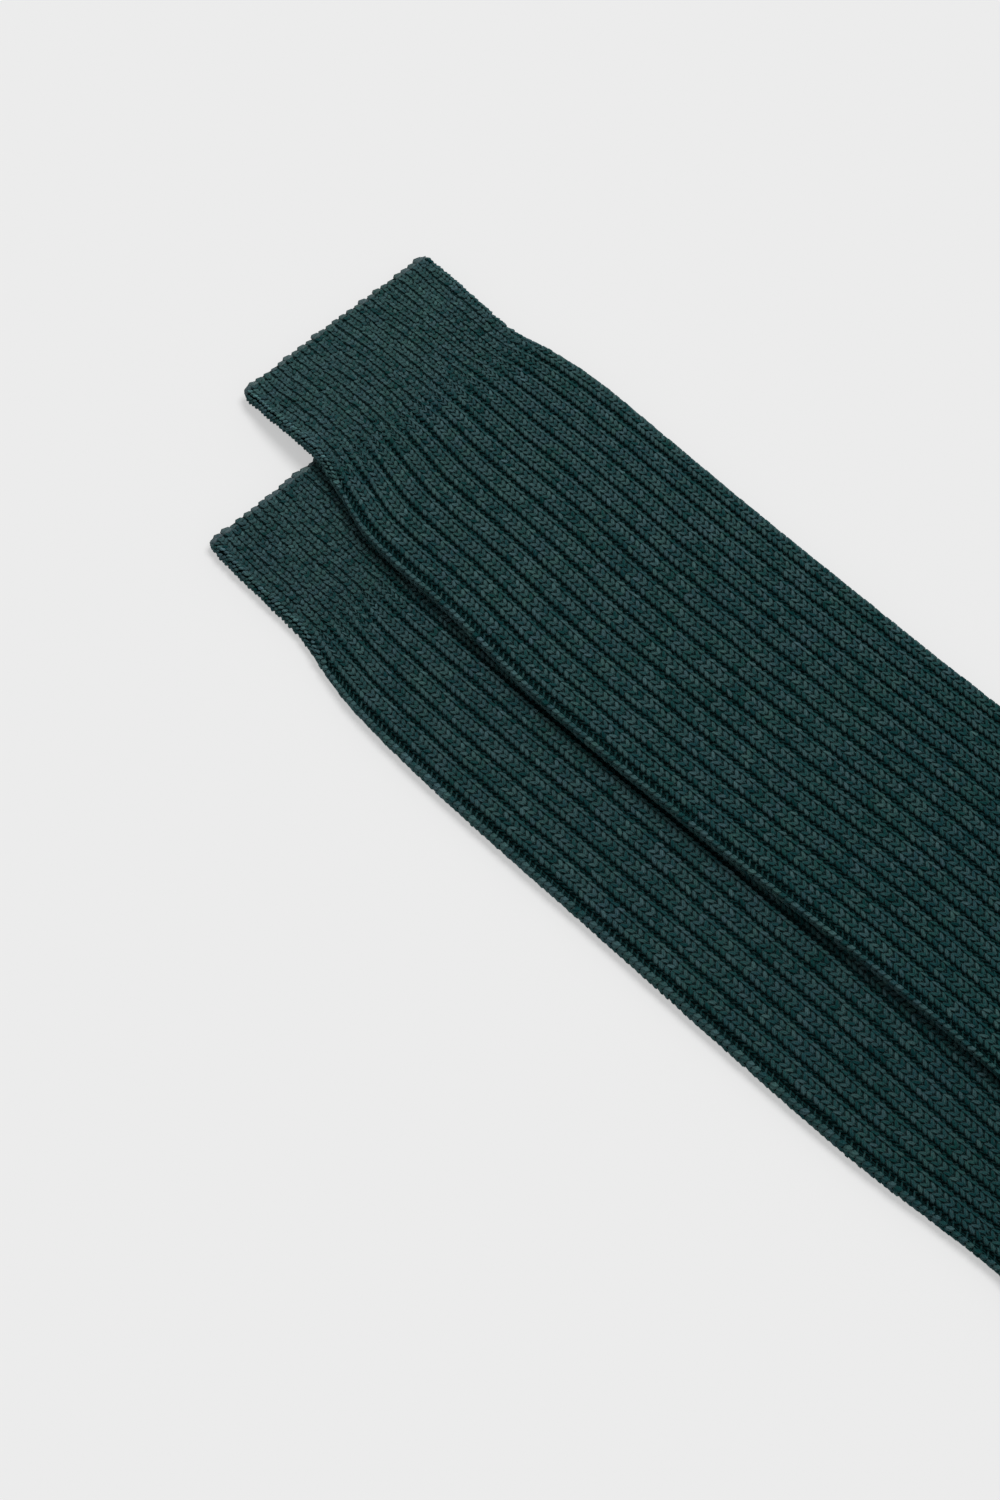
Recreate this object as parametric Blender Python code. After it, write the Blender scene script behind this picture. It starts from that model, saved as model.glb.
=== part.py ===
"""A pair of long ribbed socks lying flat, the upper sock partly over the lower one.

Each sock is one seamless knitted tube: an open cuff in fine 1x1 rib, a long leg in
wide 3x1 rib, a turned heel, a foot that is ribbed over the instep and plain at the
sole, and a closed toe.  It is modelled as one closed cloth wall: the ribs are raised
in the outer points, the inside and the resting underside are plain.

Metres, +Z up.  +X runs down the legs from the cuffs, and the low edge (-Y side) of
each sock is its heel side.
"""
import math
from collections import namedtuple

import bpy
import numpy as np

MM = 0.001

# The cloth
RIB_RELIEF = 1.1          # depth of a leg groove below the rib tops, mm
CUFF_RELIEF = 0.6         # depth of a cuff groove, mm
TOP_WALL = 2.4            # upper layer, from rib top to the plain inside, mm
UNDER_WALL = 2.0          # lower layer, plain on both faces, mm
SIDE_WALL = 2.4           # cloth at the two side folds, mm
LAY_GAP = 0.3             # air between the upper sock and what it lies on, mm

# The lie of one sock on the other
LIFT_MARGIN = 2.0         # how far past the lower sock the upper one stays lifted, mm
DRAPE_RUN = 45.0          # length of the slope down to the floor past the lower sock, mm
EDGE_SWELL = 0.16         # extra height of the springy heel-side fold, as a share
EDGE_ZONE = 14.0          # width of that swollen band, mm

# Ribs round one ring, from the foot of the low fold over the face to the high fold's
RIBS = 15
RIB_SHIFT = 0.28          # how far round the first groove lies, as a share of a rib
RIB_EDGE = 0.05           # no rib point lies nearer to the folds' feet, as a share
LEG_PHASES = (0.0, 0.13, 0.5, 0.87)      # groove, shoulder, crown, shoulder
LEG_DEPTHS = (1.0, 0.12, 0.0, 0.12)
CUFF_PHASES = (0.0, 0.25, 0.5, 0.75)     # groove, rib, groove, rib
CUFF_DEPTHS = (1.0, 0.0, 1.0, 0.0)
INSTEP_START = 0.35       # share of the ribs on the sole side of the foot
INSTEP_FADE = 0.30        # share over which the relief grows to the instep's
UNDER_POINTS = 12         # outer points across the resting underside
INNER_ACROSS = 9          # inner points across each flat face
INNER_TURN = 3            # inner points round each side fold
INNER_STEP = 2            # one inner ring for so many outer rings
TOE_SEAM_RINGS = 3        # the inside ends this many rings from the toe's tip

# One cross-section of a flat sock.  low and high are its two side folds in plan, mm.
# height is the thickness of the flat tube, mm.  leg is 0 on the cuff's fine rib and
# 1 on the wide rib, ribbed and sole are the shares of relief left on the instep
# side and on the heel side, and rings is how many rings follow before the next row.
Section = namedtuple("Section", "low_x low_y high_x high_y height leg ribbed sole rings")

UPPER_LEG = (
    Section(-152.3, 37.8, -152.1, 119.2, 5.2, 0.0, 1.0, 1.0, 1),
    Section(-149.5, 36.7, -149.3, 119.9, 5.4, 0.0, 1.0, 1.0, 2),
    Section(-137.0, 35.0, -137.0, 119.2, 5.6, 0.0, 1.0, 1.0, 2),
    Section(-125.0, 34.0, -125.0, 118.3, 5.6, 0.0, 1.0, 1.0, 3),
    Section(-112.0, 32.7, -109.0, 117.6, 5.6, 0.1, 1.0, 1.0, 3),
    Section(-97.0, 27.8, -93.0, 120.2, 5.8, 0.9, 1.0, 1.0, 2),
    Section(-79.0, 22.2, -74.0, 121.6, 6.0, 1.0, 1.0, 1.0, 3),
    Section(-43.0, 19.9, -41.0, 120.2, 6.0, 1.0, 1.0, 1.0, 3),
    Section(0.0, 15.9, 0.0, 118.2, 6.0, 1.0, 1.0, 1.0, 4),
    Section(68.0, 15.1, 68.0, 116.1, 6.0, 1.0, 1.0, 1.0, 4),
    Section(130.0, 16.6, 130.0, 114.5, 6.0, 1.0, 1.0, 1.0, 3),
)
UPPER_ANKLE = (181.0, 63.0)      # middle of the ankle, mm

LOWER_LEG = (
    Section(-116.8, -10.6, -116.8, 70.2, 5.2, 0.0, 1.0, 1.0, 1),
    Section(-114.0, -11.5, -114.0, 71.0, 5.4, 0.0, 1.0, 1.0, 4),
    Section(-90.0, -13.6, -90.0, 69.6, 5.6, 0.0, 1.0, 1.0, 2),
    Section(-72.0, -15.0, -74.0, 69.4, 5.6, 0.1, 1.0, 1.0, 3),
    Section(-55.0, -19.4, -58.0, 72.5, 5.8, 0.9, 1.0, 1.0, 2),
    Section(-38.0, -22.9, -40.0, 76.5, 5.8, 1.0, 1.0, 1.0, 3),
    Section(0.0, -25.9, 0.0, 79.0, 5.8, 1.0, 1.0, 1.0, 4),
    Section(68.0, -27.9, 68.0, 80.0, 5.8, 1.0, 1.0, 1.0, 4),
    Section(130.0, -29.8, 130.0, 79.5, 5.8, 1.0, 1.0, 1.0, 3),
    Section(172.0, -30.3, 172.0, 74.5, 5.8, 1.0, 1.0, 1.0, 2),
)
LOWER_ANKLE = (214.5, 18.8)

# Ankle, heel and the start of the foot, measured from the middle of the ankle, mm
HEEL = (
    Section(0.0, -47.0, 0.0, 46.0, 5.8, 1.0, 1.0, 1.0, 2),
    Section(30.0, -48.0, 12.0, 45.0, 5.8, 1.0, 1.0, 0.7, 2),
    Section(60.0, -48.5, 22.0, 46.0, 5.8, 1.0, 1.0, 0.0, 2),
    Section(86.0, -41.0, 29.0, 50.0, 5.8, 1.0, 1.0, 0.0, 2),
    Section(104.0, -22.0, 35.0, 56.0, 5.8, 1.0, 1.0, 0.0, 2),
)
# The foot leaves the heel at FOOT_TURN from the leg and is measured along its own
# middle line: distance from its start and half width, mm.
FOOT_TURN = 60.0          # degrees
FOOT_START = (78.0, 42.0)
FootRow = namedtuple("FootRow", "along half height ribbed rings")
FOOT = (
    FootRow(0.0, 43.5, 5.8, 1.0, 3),
    FootRow(50.0, 42.5, 5.8, 1.0, 3),
    FootRow(106.0, 43.0, 5.8, 1.0, 2),
    FootRow(130.0, 40.0, 5.8, 0.0, 2),
    FootRow(146.0, 32.5, 5.6, 0.0, 2),
    FootRow(156.5, 22.5, 5.4, 0.0, 2),
    FootRow(161.5, 13.5, 5.0, 0.0, 1),
    FootRow(163.5, 6.5, 4.8, 0.0, 0),
)

DARK_GREEN = (0.012, 0.032, 0.032, 1.0)
DEEP_GREEN = (0.010, 0.028, 0.029, 1.0)
WOOL_ROUGHNESS = 0.95


def clear_scene():
    """Start from an empty scene."""
    for item in list(bpy.data.objects):
        bpy.data.objects.remove(item, do_unlink=True)


def smooth(value):
    """Ease from 0 to 1."""
    value = np.clip(value, 0.0, 1.0)
    return value * value * (3.0 - 2.0 * value)


def foot_sections(ankle):
    """The heel and foot rows of one sock, moved to its ankle."""
    turn = math.radians(FOOT_TURN)
    ahead = np.array((math.cos(turn), math.sin(turn)))
    to_sole = np.array((math.sin(turn), -math.cos(turn)))
    ankle = np.array(ankle)
    rows = []
    for row in HEEL:
        low = ankle + (row.low_x, row.low_y)
        high = ankle + (row.high_x, row.high_y)
        rows.append(row._replace(low_x=low[0], low_y=low[1], high_x=high[0], high_y=high[1]))
    for row in FOOT:
        middle = ankle + FOOT_START + ahead * row.along
        low = middle + to_sole * row.half
        high = middle - to_sole * row.half
        rows.append(Section(low[0], low[1], high[0], high[1], row.height, 1.0,
                            row.ribbed, 0.0, row.rings))
    return rows


def fill_rings(rows):
    """All rings of a sock, on smooth curves through its rows."""
    values = np.array([row[:-1] for row in rows], dtype=float)
    steps = [row.rings for row in rows]
    rings = []
    for index in range(len(rows) - 1):
        before = values[max(index - 1, 0)]
        start = values[index]
        end = values[index + 1]
        after = values[min(index + 2, len(rows) - 1)]
        gap_before = np.linalg.norm(start[:2] - before[:2]) or 1.0
        gap = np.linalg.norm(end[:2] - start[:2])
        gap_after = np.linalg.norm(after[:2] - end[:2]) or 1.0
        slope_start = (end - before) * gap / (gap + gap_before)
        slope_end = (after - start) * gap / (gap + gap_after)
        for step in range(steps[index]):
            t = step / steps[index]
            ring = ((2 * t**3 - 3 * t**2 + 1) * start + (t**3 - 2 * t**2 + t) * slope_start
                    + (3 * t**2 - 2 * t**3) * end + (t**3 - t**2) * slope_end)
            ring[5:] = np.clip(ring[5:], 0.0, 1.0)
            rings.append(ring)
    rings.append(values[-1])
    return np.array(rings)


def outline(rings):
    """The plan outline of a sock as one closed polygon, mm."""
    return np.vstack([rings[:, 0:2], rings[::-1, 2:4]])


def distance_outside(points, polygon):
    """How far each point lies outside a polygon, 0 inside it."""
    nearest = np.full(len(points), np.inf)
    inside = np.zeros(len(points), dtype=bool)
    for start, end in zip(polygon, np.roll(polygon, -1, axis=0)):
        edge = end - start
        share = np.clip(((points - start) @ edge) / (edge @ edge), 0.0, 1.0)
        gap = np.linalg.norm(points - (start + share[:, None] * edge), axis=1)
        nearest = np.minimum(nearest, gap)
        crosses = (start[1] > points[:, 1]) != (end[1] > points[:, 1])
        if start[1] != end[1]:
            cut = start[0] + (points[:, 1] - start[1]) * edge[0] / edge[1]
            inside ^= crosses & (points[:, 0] < cut)
    return np.where(inside, 0.0, nearest)


def capsule(arc, width, height, depth):
    """Points of a flat tube's section, depth inside it, from the low fold's foot.

    The arc runs up round the low fold, over the face and down round the high fold.
    """
    radius = height / 2.0
    turn = math.pi * radius
    flat = width - height
    across = np.empty_like(arc)
    up = np.empty_like(arc)
    low = arc <= turn
    high = arc >= turn + flat
    face = ~(low | high)
    angle = arc[low] / radius
    across[low] = radius - (radius - depth[low]) * np.sin(angle)
    up[low] = radius - (radius - depth[low]) * np.cos(angle)
    across[face] = radius + arc[face] - turn
    up[face] = height - depth[face]
    angle = (arc[high] - turn - flat) / radius
    across[high] = width - radius + (radius - depth[high]) * np.sin(angle)
    up[high] = radius + (radius - depth[high]) * np.cos(angle)
    return across, up


def fold_swell(across):
    """Growth in height near the heel-side fold, where thick cloth springs open."""
    return 1.0 + EDGE_SWELL * smooth(1.0 - across / EDGE_ZONE)


def outer_section(ring):
    """Outer points of one ring: the ribbed face and folds, then the plain underside."""
    height, leg, ribbed, sole = ring[4:8]
    width = np.linalg.norm(ring[2:4] - ring[0:2])
    ribbed_arc = width - height + math.pi * height
    arcs = [0.0]
    depths = [0.0]
    for rib in range(RIBS):
        instep = smooth((rib / RIBS - INSTEP_START) / INSTEP_FADE)
        share = sole + (ribbed - sole) * instep
        for point in range(len(LEG_PHASES)):
            fine_place = rib + RIB_SHIFT + CUFF_PHASES[point]
            wide_place = rib + RIB_SHIFT + LEG_PHASES[point]
            if max(fine_place, wide_place) > RIBS - RIB_EDGE:
                continue
            fine = CUFF_RELIEF * CUFF_DEPTHS[point]
            wide = RIB_RELIEF * LEG_DEPTHS[point]
            arcs.append((fine_place + leg * (wide_place - fine_place)) / RIBS * ribbed_arc)
            depths.append((fine + leg * (wide - fine)) * share)
    arcs.append(ribbed_arc)
    depths.append(0.0)
    across, up = capsule(np.array(arcs), width, height, np.array(depths))
    under = np.linspace(width - height / 2.0, height / 2.0, UNDER_POINTS + 2)[1:-1]
    across = np.concatenate([across, under])
    up = np.concatenate([up, np.zeros(UNDER_POINTS)])
    return across, up * fold_swell(across)


def inner_section(ring):
    """Plain inner points of one ring, in the same order as the outer ones."""
    height = ring[4]
    width = np.linalg.norm(ring[2:4] - ring[0:2])
    room = height - TOP_WALL - UNDER_WALL
    radius = room / 2.0
    turn = np.linspace(0.0, math.pi, INNER_TURN + 2)
    face = np.linspace(SIDE_WALL + radius, width - SIDE_WALL - radius, INNER_ACROSS + 2)[1:-1]
    across = np.concatenate([SIDE_WALL + radius - radius * np.sin(turn), face,
                             width - SIDE_WALL - radius + radius * np.sin(turn), face[::-1]])
    up = np.concatenate([radius - radius * np.cos(turn), np.full(INNER_ACROSS, room),
                         radius + radius * np.cos(turn), np.zeros(INNER_ACROSS)])
    return across, (UNDER_WALL + up) * fold_swell(across)


def place(ring, across, up, lift):
    """Points of one section in space, mm."""
    span = ring[2:4] - ring[0:2]
    plan = ring[0:2] + across[:, None] * span / np.linalg.norm(span)
    return np.column_stack([plan, up + lift(plan)])


def tube_faces(first, count, rings):
    """Quads between rings of a tube whose points start at first."""
    faces = []
    for ring in range(rings - 1):
        here = first + ring * count
        there = here + count
        for point in range(count):
            after = (point + 1) % count
            faces.append((here + point, there + point, there + after, here + after))
    return faces


def turns_round(loop, points):
    """Angle of each point of a flat loop about its middle, closed by a full turn."""
    place_yz = points[loop][:, 1:]
    offset = place_yz - (place_yz.min(axis=0) + place_yz.max(axis=0)) / 2.0
    reach = np.abs(offset).max(axis=0)
    angles = np.unwrap(np.arctan2(offset[:, 1] / reach[1], offset[:, 0] / reach[0]))
    angles -= angles[0]
    return np.append(np.abs(angles), 2.0 * math.pi)


def rim_faces(outer, inner, points):
    """Triangles of the open rim, between two loops with different counts."""
    outer_turns = turns_round(outer, points)
    inner_turns = turns_round(inner, points)
    outer_loop = outer + outer[:1]
    inner_loop = inner + inner[:1]
    faces = []
    a = 0
    b = 0
    while a < len(outer) or b < len(inner):
        inner_done = b == len(inner)
        if inner_done or (a < len(outer) and outer_turns[a + 1] < inner_turns[b + 1]):
            faces.append((outer_loop[a], outer_loop[a + 1], inner_loop[b]))
            a += 1
        else:
            faces.append((outer_loop[a], inner_loop[b + 1], inner_loop[b]))
            b += 1
    return faces


def make_sock(rings, lift):
    """One sock as a closed cloth wall, open at the cuff and closed at the toe."""
    outer = [place(ring, *outer_section(ring), lift) for ring in rings]
    seam = len(rings) - TOE_SEAM_RINGS
    inner_rings = np.vstack([rings[:seam:INNER_STEP], rings[seam]])
    inner = [place(ring, *inner_section(ring), lift) for ring in inner_rings]
    outer_count = len(outer[0])
    inner_count = len(inner[0])
    toe_outer = outer[-1].mean(axis=0)
    toe_inner = inner[-1].mean(axis=0)
    points = np.vstack(outer + inner + [toe_outer, toe_inner])
    inner_start = outer_count * len(outer)
    toe_point = len(points) - 2
    faces = tube_faces(0, outer_count, len(outer))
    faces += [face[::-1] for face in tube_faces(inner_start, inner_count, len(inner))]
    last = inner_start - outer_count
    for point in range(outer_count):
        faces.append((last + point, toe_point, last + (point + 1) % outer_count))
    last = inner_start + inner_count * (len(inner) - 1)
    for point in range(inner_count):
        faces.append((last + (point + 1) % inner_count, toe_point + 1, last + point))
    faces += rim_faces(list(range(outer_count)),
                       list(range(inner_start, inner_start + inner_count)), points)
    return points, faces


def add_object(name, points, faces, colour):
    """Put a sock's mesh in the scene with its own material."""
    mesh = bpy.data.meshes.new(name)
    mesh.from_pydata((points * MM).tolist(), [], faces)
    mesh.update()
    material = bpy.data.materials.new(name + "_wool")
    material.use_nodes = True
    shader = material.node_tree.nodes["Principled BSDF"]
    shader.inputs["Base Color"].default_value = colour
    shader.inputs["Roughness"].default_value = WOOL_ROUGHNESS
    shader.inputs["Metallic"].default_value = 0.0
    mesh.materials.append(material)
    item = bpy.data.objects.new(name, mesh)
    bpy.context.scene.collection.objects.link(item)


clear_scene()
lower_rings = fill_rings(list(LOWER_LEG) + foot_sections(LOWER_ANKLE))
upper_rings = fill_rings(list(UPPER_LEG) + foot_sections(UPPER_ANKLE))
lower_outline = outline(lower_rings)
lower_height = lower_rings[:, 4].max()


def on_floor(plan):
    """The floor is level."""
    return np.zeros(len(plan))


def on_lower_sock(plan):
    """Height of what the upper sock lies on: the lower sock, or the floor past it."""
    past = distance_outside(plan, lower_outline) - LIFT_MARGIN
    return (lower_height + LAY_GAP) * smooth(1.0 - past / DRAPE_RUN)


lower_points, lower_faces = make_sock(lower_rings, on_floor)
upper_points, upper_faces = make_sock(upper_rings, on_lower_sock)

# The pair stands on the floor with its middle over the origin
both = np.vstack([lower_points, upper_points])
middle = (both.min(axis=0) + both.max(axis=0)) / 2.0
middle[2] = 0.0
add_object("sock_lower", lower_points - middle, lower_faces, DEEP_GREEN)
add_object("sock_upper", upper_points - middle, upper_faces, DARK_GREEN)
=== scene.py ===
import math
from collections import namedtuple

import bpy
import numpy as np
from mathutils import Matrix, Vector


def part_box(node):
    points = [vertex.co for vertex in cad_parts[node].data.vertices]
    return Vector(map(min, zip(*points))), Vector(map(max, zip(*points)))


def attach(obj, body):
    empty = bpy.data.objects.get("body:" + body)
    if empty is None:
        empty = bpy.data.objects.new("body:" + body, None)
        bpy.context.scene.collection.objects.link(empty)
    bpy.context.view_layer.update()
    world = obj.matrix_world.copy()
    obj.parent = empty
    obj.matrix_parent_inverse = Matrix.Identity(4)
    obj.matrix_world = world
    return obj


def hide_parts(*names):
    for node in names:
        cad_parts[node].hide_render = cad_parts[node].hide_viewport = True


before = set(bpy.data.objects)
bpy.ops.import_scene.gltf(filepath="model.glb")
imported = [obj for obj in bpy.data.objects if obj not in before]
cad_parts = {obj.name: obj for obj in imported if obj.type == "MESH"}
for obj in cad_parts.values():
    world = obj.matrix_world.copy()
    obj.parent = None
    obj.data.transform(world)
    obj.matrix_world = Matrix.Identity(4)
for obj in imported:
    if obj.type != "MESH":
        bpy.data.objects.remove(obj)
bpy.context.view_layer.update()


# ---------------------------------------------------------------------------
# The studio.  A pale table lit softly from above on the view's right, and a little
# from below so that shadows stay light, seen from the low side of the legs.
WHITE = (1.0, 1.0, 1.0, 1.0)
FLOOR_SIDE = 24.0                # m
FLOOR_SHADE = 0.36
FLOOR_GLOW = 0.47
KEY_STRENGTH = 2.2
KEY_SPREAD = 30.0                # degrees, how broad the light is
KEY_FROM = (0.32, 0.10, 1.0)     # towards the light: view's right, up the floor, up
FILL_STRENGTH = 0.36
BACKDROP_SHADE = 0.84
VIEW_TURN = 44.5                 # degrees, round from looking along +Y
VIEW_DOWN = 57.0                 # degrees, down from level
VIEW_DISTANCE = 1.169            # m
VIEW_AIM = (-0.1207, -0.1108, 0.0)
FOCAL = 92.6                     # mm
FRAME_HIGH = 36.0                # mm

turn, down = math.radians(VIEW_TURN), math.radians(VIEW_DOWN)
view_right = Vector((math.cos(turn), math.sin(turn), 0.0))
up_floor = Vector((-math.sin(turn), math.cos(turn), 0.0))
view_ahead = up_floor * math.cos(down) - Vector((0.0, 0.0, math.sin(down)))


def add_object(name, data):
    """A new object in the scene, at the origin."""
    added = bpy.data.objects.new(name, data)
    bpy.context.scene.collection.objects.link(added)
    return added


def set_inputs(node, values):
    """Constant values on a node's own sockets."""
    for label, value in values.items():
        node.inputs[label].default_value = value


floor_mesh = bpy.data.meshes.new("floor")
half = FLOOR_SIDE / 2.0
floor_mesh.from_pydata([(-half, -half, 0), (half, -half, 0), (half, half, 0), (-half, half, 0)],
                       [], [(0, 1, 2, 3)])
floor = add_object("floor", floor_mesh)
paper = bpy.data.materials.new("floor_paper")
paper.use_nodes = True
set_inputs(paper.node_tree.nodes["Principled BSDF"], {
    "Base Color": (FLOOR_SHADE, FLOOR_SHADE, FLOOR_SHADE, 1.0), "Roughness": 1.0,
    "Specular IOR Level": 0.0, "Emission Color": WHITE, "Emission Strength": FLOOR_GLOW})
floor_mesh.materials.append(paper)

key = add_object("key_light", bpy.data.lights.new("key_light", "SUN"))
key.data.energy = KEY_STRENGTH
key.data.angle = math.radians(KEY_SPREAD)
towards = view_right * KEY_FROM[0] + up_floor * KEY_FROM[1] + Vector((0, 0, KEY_FROM[2]))
key.rotation_euler = towards.to_track_quat("Z", "Y").to_euler()

world = bpy.data.worlds.new("fill")
world.use_nodes = True
sky = world.node_tree
fill = sky.nodes["Background"]
set_inputs(fill, {"Color": WHITE, "Strength": FILL_STRENGTH})
backdrop = sky.nodes.new("ShaderNodeBackground")
set_inputs(backdrop, {"Strength": BACKDROP_SHADE})
seen = sky.nodes.new("ShaderNodeLightPath")
choose = sky.nodes.new("ShaderNodeMixShader")
sky.links.new(seen.outputs["Is Camera Ray"], choose.inputs[0])
sky.links.new(fill.outputs[0], choose.inputs[1])
sky.links.new(backdrop.outputs[0], choose.inputs[2])
sky.links.new(choose.outputs[0], sky.nodes["World Output"].inputs["Surface"])
bpy.context.scene.world = world
bpy.context.scene.view_settings.view_transform = "Standard"

camera = add_object("camera", bpy.data.cameras.new("camera"))
camera.data.sensor_fit = "VERTICAL"
camera.data.sensor_height = FRAME_HIGH
camera.data.lens = FOCAL
camera.location = Vector(VIEW_AIM) - view_ahead * VIEW_DISTANCE
camera.rotation_euler = view_ahead.to_track_quat("-Z", "Y").to_euler()
bpy.context.scene.camera = camera


# ---------------------------------------------------------------------------
# The lower sock's cloth.  One tube knitted in the round in thick mottled wool:
# 1x1 rib at the cuff, 3x1 rib down the leg and over the instep, plain at the
# heel, sole and toe.  It lies on the floor, folded flat along its two sides.
MM = 0.001
TOP_WALL = 2.6                   # rib top to the inside, mm
UNDER_WALL = 2.0
SIDE_WALL = 2.4
STITCH_SINK = 0.75               # the cloth lies this far under the stitches' tops, mm
RIBS = 15                        # wide ribs over the upper side and its two folds
RIB_SHIFT = 0.28                 # where the first groove lies, as a share of a rib
WALES = 4                        # columns of stitches in one wide rib and its groove
LEG_COLUMNS = 2 * WALES          # columns of their slanted legs
INSTEP_START = 0.35              # share of the ribs on the sole side of the foot
INSTEP_FADE = 0.30
EDGE_SWELL = 0.16                # extra height of the heel-side fold, as a share
EDGE_ZONE = 14.0                 # mm

# The ribs' relief, in mm and shares of a wide rib
GROOVE = 0.9                     # depth of the groove between two wide ribs
GROOVE_HALF = 0.14               # its half width
ROUNDING = 0.5                   # how far a wide rib falls away to its groove
CUFF_RELIEF = 0.28               # depth of a groove between two fine ribs
CUFF_HALF = 0.42
CREASE = 1.3                     # the crease along the cuff's low fold
CREASE_PLACE = 0.725
CREASE_HALF = 0.13
OPEN_FROM = 0.65                 # the purl band stretched open at the leg's low fold
OPEN_EASE = 0.10
UNDER_RIBS = 12                  # ribs on the resting side
UNDER_RELIEF = 0.5
UNDER_HALF = 0.2

# One cross-section of the flat tube: its two side folds in plan, its height, the rings
# to the next row, fine rib (0) or wide rib (1), and how much of the ribs' relief is
# left on the instep and on the sole.
Section = namedtuple("Section", "low_x low_y high_x high_y height rings leg ribbed sole",
                     defaults=(1.0, 1.0, 1.0))
LOWER_LEG = (
    Section(-116.8, -10.6, -116.8, 70.2, 5.2, 1, leg=0.0),
    Section(-114.0, -11.5, -114.0, 71.0, 5.4, 4, leg=0.0),
    Section(-90.0, -13.6, -90.0, 69.6, 5.6, 2, leg=0.0),
    Section(-72.0, -15.0, -74.0, 69.4, 5.6, 3, leg=0.1),
    Section(-55.0, -19.4, -58.0, 72.5, 5.8, 2, leg=0.9),
    Section(-38.0, -22.9, -40.0, 76.5, 5.8, 3),
    Section(0.0, -25.9, 0.0, 79.0, 5.8, 4),
    Section(68.0, -27.9, 68.0, 80.0, 5.8, 4),
    Section(130.0, -29.8, 130.0, 79.5, 5.8, 3),
    Section(172.0, -30.3, 172.0, 74.5, 5.8, 2),
)
LOWER_ANKLE = (214.5, 18.8)
HEEL = (
    Section(0.0, -47.0, 0.0, 46.0, 5.8, 2),
    Section(30.0, -48.0, 12.0, 45.0, 5.8, 2, sole=0.7),
    Section(60.0, -48.5, 22.0, 46.0, 5.8, 2, sole=0.0),
    Section(86.0, -41.0, 29.0, 50.0, 5.8, 2, sole=0.0),
    Section(104.0, -22.0, 35.0, 56.0, 5.8, 2, sole=0.0),
)
FOOT_TURN = 60.0                 # degrees
FOOT_START = (78.0, 42.0)
FootRow = namedtuple("FootRow", "along half height ribbed rings")
FOOT = (
    FootRow(0.0, 43.5, 5.8, 1.0, 3),
    FootRow(50.0, 42.5, 5.8, 1.0, 3),
    FootRow(106.0, 43.0, 5.8, 1.0, 2),
    FootRow(130.0, 40.0, 5.8, 0.0, 2),
    FootRow(146.0, 32.5, 5.6, 0.0, 2),
    FootRow(156.5, 22.5, 5.4, 0.0, 2),
    FootRow(161.5, 13.5, 5.0, 0.0, 1),
    FootRow(163.5, 6.5, 4.8, 0.0, 0),
)
Sock = namedtuple("Sock", "along rings lift ankle foot toe end")
SHAPE_STEPS = 8                  # shape samples between two rings of a row
FIRST_SHARE = Section._fields.index("leg")
TOE_ROW = 2                      # row of the foot where the toe begins


def smooth(value):
    """Ease from 0 to 1."""
    value = np.clip(value, 0.0, 1.0)
    return value * value * (3.0 - 2.0 * value)


def foot_sections(ankle):
    """The heel and foot rows of one sock, moved to its ankle."""
    foot_turn = math.radians(FOOT_TURN)
    ahead = np.array((math.cos(foot_turn), math.sin(foot_turn)))
    to_sole = np.array((math.sin(foot_turn), -math.cos(foot_turn)))
    ankle = np.array(ankle)
    rows = []
    for row in HEEL:
        low = ankle + (row.low_x, row.low_y)
        high = ankle + (row.high_x, row.high_y)
        rows.append(row._replace(low_x=low[0], low_y=low[1], high_x=high[0], high_y=high[1]))
    for row in FOOT:
        middle = ankle + FOOT_START + ahead * row.along
        low = middle + to_sole * row.half
        high = middle - to_sole * row.half
        rows.append(Section(*low, *high, row.height, row.rings, ribbed=row.ribbed, sole=0.0))
    return rows


def fine_sections(rows):
    """Close sections on smooth curves through the rows, and where each row falls."""
    values = np.array(rows, dtype=float)
    rings = []
    starts = []
    for index in range(len(rows) - 1):
        before = values[max(index - 1, 0)]
        start = values[index]
        end = values[index + 1]
        after = values[min(index + 2, len(rows) - 1)]
        gap_before = np.linalg.norm(start[:2] - before[:2]) or 1.0
        gap = np.linalg.norm(end[:2] - start[:2])
        gap_after = np.linalg.norm(after[:2] - end[:2]) or 1.0
        slope_start = (end - before) * gap / (gap + gap_before)
        slope_end = (after - start) * gap / (gap + gap_after)
        starts.append(len(rings))
        steps = rows[index].rings * SHAPE_STEPS
        for step in range(steps):
            t = step / steps
            ring = ((2 * t**3 - 3 * t**2 + 1) * start + (t**3 - 2 * t**2 + t) * slope_start
                    + (3 * t**2 - 2 * t**3) * end + (t**3 - t**2) * slope_end)
            ring[FIRST_SHARE:] = np.clip(ring[FIRST_SHARE:], 0.0, 1.0)
            rings.append(ring)
    rings.append(values[-1])
    return np.array(rings), starts


def sock_shape(leg_rows, ankle, lift):
    """A whole sock's shape, with the lengths at which its parts begin."""
    rows = list(leg_rows) + foot_sections(ankle)
    rings, starts = fine_sections(rows)
    steps = np.linalg.norm(np.diff(rings[:, 0:2], axis=0), axis=1)
    steps = (steps + np.linalg.norm(np.diff(rings[:, 2:4], axis=0), axis=1)) / 2.0
    along = np.concatenate([[0.0], np.cumsum(steps)])
    ankle_row = len(leg_rows)
    foot_row = ankle_row + len(HEEL)
    parts = [along[starts[row]] for row in (ankle_row, foot_row, foot_row + TOE_ROW)]
    return Sock(along, rings, lift, *parts, along[-1])


def section_at(sock, along):
    """The named sizes of the section at each length."""
    return Section(*[np.interp(along, sock.along, column) for column in sock.rings.T])


def width_of(cut):
    """Width of the flat tube at a section."""
    return np.hypot(cut.high_x - cut.low_x, cut.high_y - cut.low_y)


def arc_of(cut):
    """Length over the upper side, from the foot of one fold to the foot of the other."""
    return width_of(cut) - cut.height + math.pi * cut.height


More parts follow.
